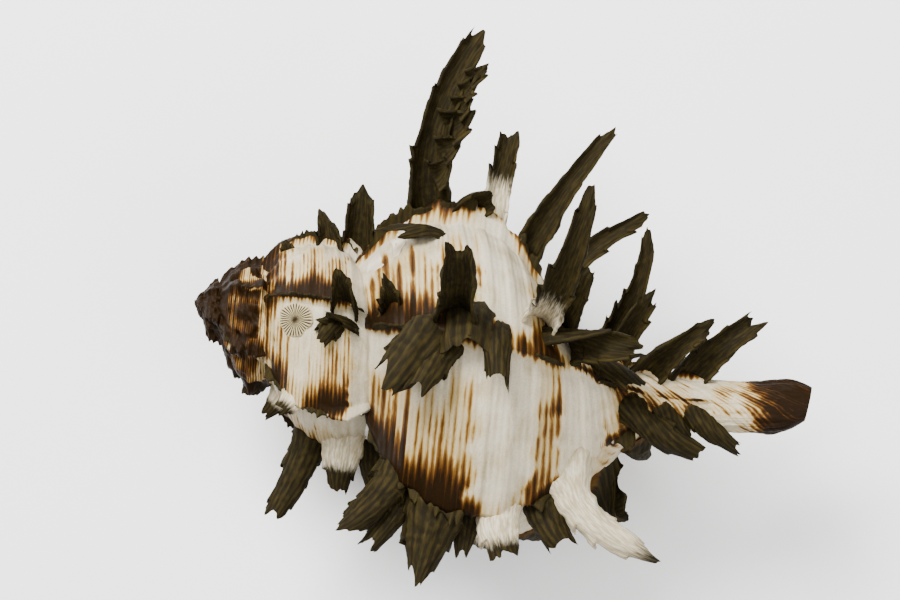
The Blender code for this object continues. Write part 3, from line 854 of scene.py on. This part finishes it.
def frond_group(name, fronds, reach, sizes, look):
    """All fronds of one varix in one mesh, each a closed half tube with an open hollow."""
    grids = []
    for number, (root_x, phi, tip, root_width, tip_width, pull, pale) in enumerate(fronds):
        on_shell = np.isscalar(phi)
        root = shell_root(root_x, phi) if on_shell else (np.array(root_x), *phi)
        slope = root_slope(root_x, phi) if on_shell else 0.0
        seed = 100 * len(name) + 7 * number
        points, s, inside, values = frond_points(root, slope, tip, root_width, tip_width, pull,
                                                 reach, seed, sizes.frond_wall / MM)
        values["root"] = values["root"] * on_shell
        values["pale"] = smooth(pale + 0.28, pale - 0.2, s) * min(1.0, 3.0 * pale) + 0.04 * inside
        grids.append((points, values))
    return close_seams(grid_object(name, grids, frond_shell(look), closed=True, flipped=True))


def cut_level(fronds):
    """The same fronds with narrower ends, none of them below the ground."""
    return tuple((x, phi, (tip[0], tip[1], max(tip[2], GROUND_Z)), width, 0.75 * end, pull, pale)
                 for x, phi, tip, width, end, pull, pale in fronds)


def barb_fronds():
    """The barbs on the tallest frond as small fronds that grow out sideways."""
    sideways = (np.array([0.8, 0.6, 0.0]), np.array([0.0, 0.0, 1.0]))
    return tuple((from_photo(root, BARB_Z), sideways, from_photo(tip, BARB_Z), width,
                  BARB_TIP_WIDTH, 0.0, 0.0) for root, tip, width in BARBS)


def keep_above_ground(obj):
    """Levels what reaches below the ground, as if the ends of the low fronds were worn."""
    co = np.empty(len(obj.data.vertices) * 3, dtype=np.float32)
    obj.data.vertices.foreach_get("co", co)
    co[2::3] = np.maximum(co[2::3], 0.0)
    obj.data.vertices.foreach_set("co", co)
    obj.data.update()


# Varices with a frill, counted from the lip, how many of them lie on the last whorl, which one
# passes behind the mouth, and the rows and columns of a frill
FRILLED_VARICES = 15
LAST_WHORL_VARICES = 5
MOUTH_VARIX = 5
FRILL_GRID = (150, 14)


def varix_frills(sizes, look):
    """A low torn frill along every varix, between its fronds, that leans toward the growth.

    Each frill is a sheet with two faces: its rows follow the varix from seam to canal, its section
    goes up one face and down the other, and its height and lean change from thread to thread.
    """
    rows, columns = FRILL_GRID
    grids = []
    around = np.linspace(0.0, 1.0, columns)[None, :]
    up = 1.0 - np.abs(2.0 * around - 1.0)
    front = np.sign(around - 0.5)
    for number in range(FRILLED_VARICES):
        t = LIP_ANGLE - VARIX_SPACING * number - 1.0
        radius = float(whorl_radius(t))
        scale = radius / BODY_RADIUS
        q = np.linspace(-0.74, 0.95 if number < 6 else 0.6, rows)[:, None]
        x = float(whorl_place(t)) + q * radius
        shell = body_radius(x, t)
        own = whorl_surface(x, t)
        shown = smooth(-1.2, -0.2, own - shell) * smooth(-0.74, -0.62, q)
        if number == MOUTH_VARIX:
            shown = shown * smooth(30.0, 26.0, x)
        torn = noise(threads(q) * 0.8, number + 0.5, 41)
        fine = noise(threads(q) * 2.1, number + 0.5, 43)
        band = band_weight(q)
        if number < LAST_WHORL_VARICES:
            shown = shown * smooth(0.1, 0.6, band)
        tear = sizes.frill_height / MM * torn * fine
        height = scale * (0.5 + tear + 1.2 * band * torn) * shown - 0.5 * (1.0 - shown)
        bend = scale * (0.8 * (noise(threads(q) * 0.5, number + 0.5, 47) - 0.3)) * up**2
        wall = scale * 0.55 * (1.0 - 0.75 * up) * front
        radial = shell - 0.5 + (height + 0.5) * up
        angle = t + np.degrees((bend * shown + wall) / np.maximum(radial, 1.0))
        pale = (1.0 - band) * smooth(1.15, 0.65, up) * (0.9 if number < 8 else 0.3)
        values = {"rise": 0.3 + 0.5 * fine, "round": threads(q), "long": height * up,
                  "root": 0.6 * band * smooth(0.5, 0.0, up), "pale": pale}
        grids.append((around_axis(x + 0.35 * q * up * height, angle, radial), values))
    return grid_object("varix_frills", grids, frond_shell(look))


# The coral crust: x and phi of its middle, how many rays it has, and its rings and spokes
CORAL_PLACE = (16.4, 87.0)
CORAL_RAYS = 32
CORAL_GRID = (22, 320)


def coral_patch(sizes):
    """A low round crust on the spire: a flat dome with thin ridges that run out from its middle."""
    rho, theta = disc(*CORAL_GRID)
    reach = 1.0 + 0.06 * np.cos(3 * theta + 1.0) + 0.04 * np.cos(7 * theta)
    outline = sizes.coral_radius / MM * reach
    x, phi = patch_on_shell(*CORAL_PLACE, rho * outline * np.cos(theta), rho * outline * np.sin(theta))
    sway = 1.5 * noise(rho * 4.0, theta * 4.0, 97)
    ridge = 0.5 + 0.5 * np.cos(CORAL_RAYS * theta + sway)
    dome = 0.5 * np.sqrt(np.clip(1.0 - rho**4, 0.0, 1.0)) + 0.1
    lift = dome + 0.16 * ridge * (1.0 - rho**6) - 0.25 * (rho > 0.98)
    points = around_axis(x, phi, body_radius(x, phi) + lift)
    furrow = smooth(0.3, 0.8, 1.0 - ridge) * smooth(1.0, 0.75, rho)
    furrow = np.maximum(furrow, 0.5 * smooth(0.3, 0.05, rho))
    grids = [(points, {"ridge": 1.0 - furrow})]
    return close_seams(grid_object("coral_patch", grids, crust_coral(), closed=True))


# Scales over old damage: x and phi of the middle, half width along x and around, height; and the
# rings and spokes of each
WHITE_SCALES = (
    (27.3, 34.0, 2.5, 2.7, 0.55),
    (9.6, 57.0, 0.35, 0.8, 0.3),
    (29.5, 24.0, 1.2, 1.0, 0.7),
)
SCALE_GRID = (26, 120)


def white_scales(look):
    """Thin smooth scales of new shell over old damage: low domes with torn, upturned edges."""
    rho, theta = disc(*SCALE_GRID)
    grids = []
    for number, (x0, phi0, half_x, half_around, height) in enumerate(WHITE_SCALES):
        edge = noise(2.5 + 2.0 * np.cos(theta), 2.5 + 2.0 * np.sin(theta), 81 + number) - 0.5
        bite = 1.0 + 0.35 * edge + 0.05 * np.cos(9 * theta)
        x, phi = patch_on_shell(x0, phi0, rho * bite * half_x * np.cos(theta),
                                rho * bite * half_around * np.sin(theta))
        lift = height * (0.45 * rho**4 + 0.12 * noise(x * 2.0, phi * 0.3, 91))
        lift = lift + 0.25 - 0.6 * (rho > 0.97)
        fringe = smooth(0.72, 0.96, rho) * smooth(0.45, 0.75, noise(1.5 + np.cos(theta), 2.0, 95))
        values = {"depth": 0.75 + 0.25 * noise(x, phi * 0.2, 93), "rim": 0.9 * fringe}
        grids.append((around_axis(x, phi, body_radius(x, phi) + lift), values))
    return close_seams(grid_object("white_scales", grids, glazed_shell(look), closed=True))


INNER_LIP_GRID = (120, 170)


def inner_lip(sizes, look):
    """The smooth glaze over the whorl behind the mouth, from deep inside to a raised edge outside.

    Rows run along the axis from the mouth's upper corner into the canal, columns with the growth
    angle. The glaze lies a little above the earlier whorl and thins out at both ends.
    """
    u, v = shares(*INNER_LIP_GRID)
    x = 29.0 + 43.0 * u
    edge = -92.0 - 26.0 * (1.0 - smooth(0.0, 0.22, u)) + 5.0 * noise(u * 5.0, 0.3, 51)
    t = -330.0 + (edge + 330.0) * v
    rim = np.exp(-(((v - 0.972) / 0.018) ** 2))
    thick = 0.55 * smooth(1.0, 0.975, v) + 0.55 * rim - 0.35
    thick = thick - 0.9 * (smooth(0.06, 0.0, u) + smooth(0.94, 1.0, u))
    folds = 0.12 * np.cos(2.0 * np.pi * u * 11.0) * smooth(0.35, 0.9, u) * smooth(0.7, 0.9, v)
    points = around_axis(x, t, whorl_surface(x, t) + sizes.glaze_lift / MM + thick + folds)
    # Painted shade: the glaze darkens away from its raised edge, deeper inside the mouth
    values = {"depth": 0.7 * smooth(0.8, 0.2, v), "rim": 0.0}
    return grid_object("inner_lip", [(points, values)], glazed_shell(look))


# Stage

# Soft lights: name, place and width in millimetres, power in watts
LIGHTS = (
    ("key", (-260.0, 260.0, 420.0), 240.0, 9.0),
    ("fill", (320.0, -120.0, 330.0), 320.0, 1.6),
    ("top", (0.0, 60.0, 620.0), 420.0, 3.2),
)
FLOOR_SIZE = 4.0
SENSOR_WIDTH = 36.0
SKY_COLOUR = (1.0, 0.98, 0.95, 1.0)
SKY_STRENGTH = 0.34


def white_paper():
    """Matt white paper, a little uneven: it gives the eye a plain pale ground with soft shadows."""
    material, add = start_material("matt white paper")
    tone = add("ValToRGB", [grain(add, 30.0, 2.0, 0.5)], stops=((0.0, "#fafafa"), (1.0, "#fdfdfd")))
    return finish_material(material, add, {"Base Color": tone, "Roughness": 0.9})


def make_stage():
    """Floor, three soft lights, and a camera that looks straight down at the shell's back."""
    scene = bpy.context.scene
    bpy.ops.mesh.primitive_plane_add(size=FLOOR_SIZE)
    floor = bpy.context.object
    floor.name = "floor"
    floor.data.materials.append(white_paper())
    roll = np.radians(AXIS_ROLL)
    to_middle = (IMAGE_WIDTH / 2.0 - SPIRE_TIP_PIXEL[0]) * MM_PER_PIXEL
    middle = np.array([to_middle * np.cos(roll), to_middle * np.sin(roll), 4.0])
    aim = Vector((middle + AXIS_IN_FRAME) * MM)
    data = bpy.data.cameras.new("camera")
    data.sensor_width = SENSOR_WIDTH
    data.lens = SENSOR_WIDTH * CAMERA_DISTANCE / (IMAGE_WIDTH * MM_PER_PIXEL)
    data.clip_end = 10.0
    camera = bpy.data.objects.new("camera", data)
    camera.location = aim + Vector((0.0, 0.0, CAMERA_DISTANCE * MM))
    camera.rotation_mode = "QUATERNION"
    camera.rotation_quaternion = Matrix.Rotation(roll, 3, "Z").to_quaternion()
    scene.collection.objects.link(camera)
    scene.camera = camera
    for name, place, width, power in LIGHTS:
        data = bpy.data.lights.new(name, "AREA")
        data.size = width * MM
        data.energy = power
        lamp = bpy.data.objects.new(name, data)
        lamp.location = Vector(place) * MM
        lamp.rotation_mode = "QUATERNION"
        lamp.rotation_quaternion = (aim - lamp.location).to_track_quat("-Z", "Y")
        scene.collection.objects.link(lamp)
    world = bpy.data.worlds.new("world")
    world.use_nodes = True
    sky = world.node_tree.nodes["Background"].inputs
    sky["Color"].default_value = SKY_COLOUR
    sky["Strength"].default_value = SKY_STRENGTH
    scene.world = world


# Add-on

def colour_property(name, description, hex_colour):
    """A colour for the sidebar with an sRGB hex as its default."""
    return bpy.props.FloatVectorProperty(name=name, description=description, subtype="COLOR",
                                         size=4, min=0.0, max=1.0, default=linear(hex_colour))


def length_property(name, description, millimetres):
    """A length for the sidebar, given in millimetres and held in metres."""
    return bpy.props.FloatProperty(name=name, description=description, subtype="DISTANCE",
                                   unit="LENGTH", min=0.0, precision=5, default=millimetres * MM)


def chosen(context):
    """The sizes and the colours that are set in the sidebar."""
    return context.scene.murex_sizes, context.scene.murex_colours


class ShellSizes(bpy.types.PropertyGroup):
    """Sizes of the shell's finer forms."""

    wall: length_property("Lip wall", "Thickness of the shell at the outer lip", 1.5)
    ridge_height: length_property("Ridge height", "Height of the cords that lead into the fronds", 1.5)
    frond_wall: length_property("Frond wall", "Thickness of a frond's wall at its root", 0.85)
    frill_height: length_property("Frill height", "Most that the torn frills add along a varix", 3.4)
    glaze_lift: length_property("Glaze", "Height of the mouth's glaze over the earlier whorl", 0.62)
    coral_radius: length_property("Coral radius", "Radius of the coral crust on the spire", 2.6)


class ShellColours(bpy.types.PropertyGroup):
    """Colours of the shell."""

    cream: colour_property("Cream", "Clean shell between the brown lines", "#bcb29c")
    shade: colour_property("Grey cream", "Worn shell between the brown lines", "#9e9172")
    ochre: colour_property("Ochre", "Thin young lines", "#96793a")
    orange_brown: colour_property("Orange brown", "Middle of the lines", "#644219")
    dark_brown: colour_property("Dark brown", "Lines near a varix", "#37200a")
    frond_black: colour_property("Frond black", "Fronds and the crests of the varices", "#191407")
    # Lighter streaks of the fronds, and the painted highlight on their raised ribs and edges
    frond_olive_and_highlight: colour_property("Frond olive", "Raised ribs of the fronds", "#302810")


class BuildBodyWhorl(bpy.types.Operator):
    """Builds the last whorl with the outer lip, the inner wall of the mouth and the canal"""

    bl_idname = "murex.body_whorl"
    bl_label = "Body whorl"

    def execute(self, context):
        body_whorl(*chosen(context))
        return {"FINISHED"}


class BuildSpireWhorls(bpy.types.Operator):
    """Builds the earlier whorls up to the tip of the spire"""

    bl_idname = "murex.spire_whorls"
    bl_label = "Spire whorls"

    def execute(self, context):
        spire_whorls(*chosen(context))
        return {"FINISHED"}


class BuildFreeFronds(bpy.types.Operator):
    """Builds the fronds that stand free, one mesh for each varix"""

    bl_idname = "murex.free_fronds"
    bl_label = "Free fronds"

    def execute(self, context):
        for name, fronds in FREE_FRONDS:
            frond_group(name, fronds, REACH, *chosen(context))
        return {"FINISHED"}


class BuildLowFronds(bpy.types.Operator):
    """Builds the fronds that the shell rests on, with their ends level with the ground"""

    bl_idname = "murex.low_fronds"
    bl_label = "Low fronds"

    def execute(self, context):
        for name, fronds in LOW_FRONDS:
            keep_above_ground(frond_group(name, cut_level(fronds), LOW_REACH, *chosen(context)))
        return {"FINISHED"}


class BuildVarixFrills(bpy.types.Operator):
    """Builds the low torn frills between the fronds"""

    bl_idname = "murex.varix_frills"
    bl_label = "Varix frills"

    def execute(self, context):
        varix_frills(*chosen(context))
        return {"FINISHED"}


class BuildInnerLip(bpy.types.Operator):
    """Builds the glaze over the whorl behind the mouth"""

    bl_idname = "murex.inner_lip"
    bl_label = "Inner lip"

    def execute(self, context):
        inner_lip(*chosen(context))
        return {"FINISHED"}


class BuildWhiteScales(bpy.types.Operator):
    """Builds the white scales over old damage"""

    bl_idname = "murex.white_scales"
    bl_label = "White scales"

    def execute(self, context):
        white_scales(context.scene.murex_colours)
        return {"FINISHED"}


class BuildCoralPatch(bpy.types.Operator):
    """Builds the coral crust on the spire"""

    bl_idname = "murex.coral_patch"
    bl_label = "Coral patch"

    def execute(self, context):
        coral_patch(context.scene.murex_sizes)
        return {"FINISHED"}


class BuildStage(bpy.types.Operator):
    """Builds the floor, the lights and the camera"""

    bl_idname = "murex.stage"
    bl_label = "Stage"

    def execute(self, context):
        make_stage()
        return {"FINISHED"}


FREE_FRONDS = (
    ("top_varix_fronds", TOP_VARIX + barb_fronds()),
    ("middle_varix_fronds", MIDDLE_VARIX),
    ("bottom_varix_fronds", BOTTOM_VARIX),
    ("spire_fronds", SPIRE_FRONDS),
    ("canal_fronds", CANAL_FRONDS),
)
LOW_FRONDS = (
    ("lip_fronds", LIP_VARIX),
    ("far_varix_fronds", FAR_VARIX),
    ("under_varix_fronds", UNDER_VARIX),
)
OPERATORS = (BuildBodyWhorl, BuildSpireWhorls, BuildFreeFronds, BuildLowFronds, BuildVarixFrills,
             BuildInnerLip, BuildWhiteScales, BuildCoralPatch, BuildStage)


class MUREX_PT_panel(bpy.types.Panel):
    """Lists the shell's pieces, sizes and colours in the sidebar"""

    bl_idname = "MUREX_PT_panel"
    bl_label = "Murex shell"
    bl_space_type = "VIEW_3D"
    bl_region_type = "UI"
    bl_category = "Murex shell"

    def draw(self, context):
        for operator in OPERATORS:
            self.layout.operator(operator.bl_idname)
        for group in chosen(context):
            for name in group.__annotations__:
                self.layout.prop(group, name)


CLASSES = (ShellSizes, ShellColours, *OPERATORS, MUREX_PT_panel)


def register():
    for cls in CLASSES:
        bpy.utils.register_class(cls)
    bpy.types.Scene.murex_sizes = bpy.props.PointerProperty(type=ShellSizes)
    bpy.types.Scene.murex_colours = bpy.props.PointerProperty(type=ShellColours)


def unregister():
    del bpy.types.Scene.murex_sizes
    del bpy.types.Scene.murex_colours
    for cls in reversed(CLASSES):
        bpy.utils.unregister_class(cls)


def main():
    """Registers the add-on, and builds every piece and the stage."""
    register()
    for operator in OPERATORS:
        getattr(bpy.ops.murex, operator.bl_idname.split(".")[1])()


if __name__ == "__main__":
    main()
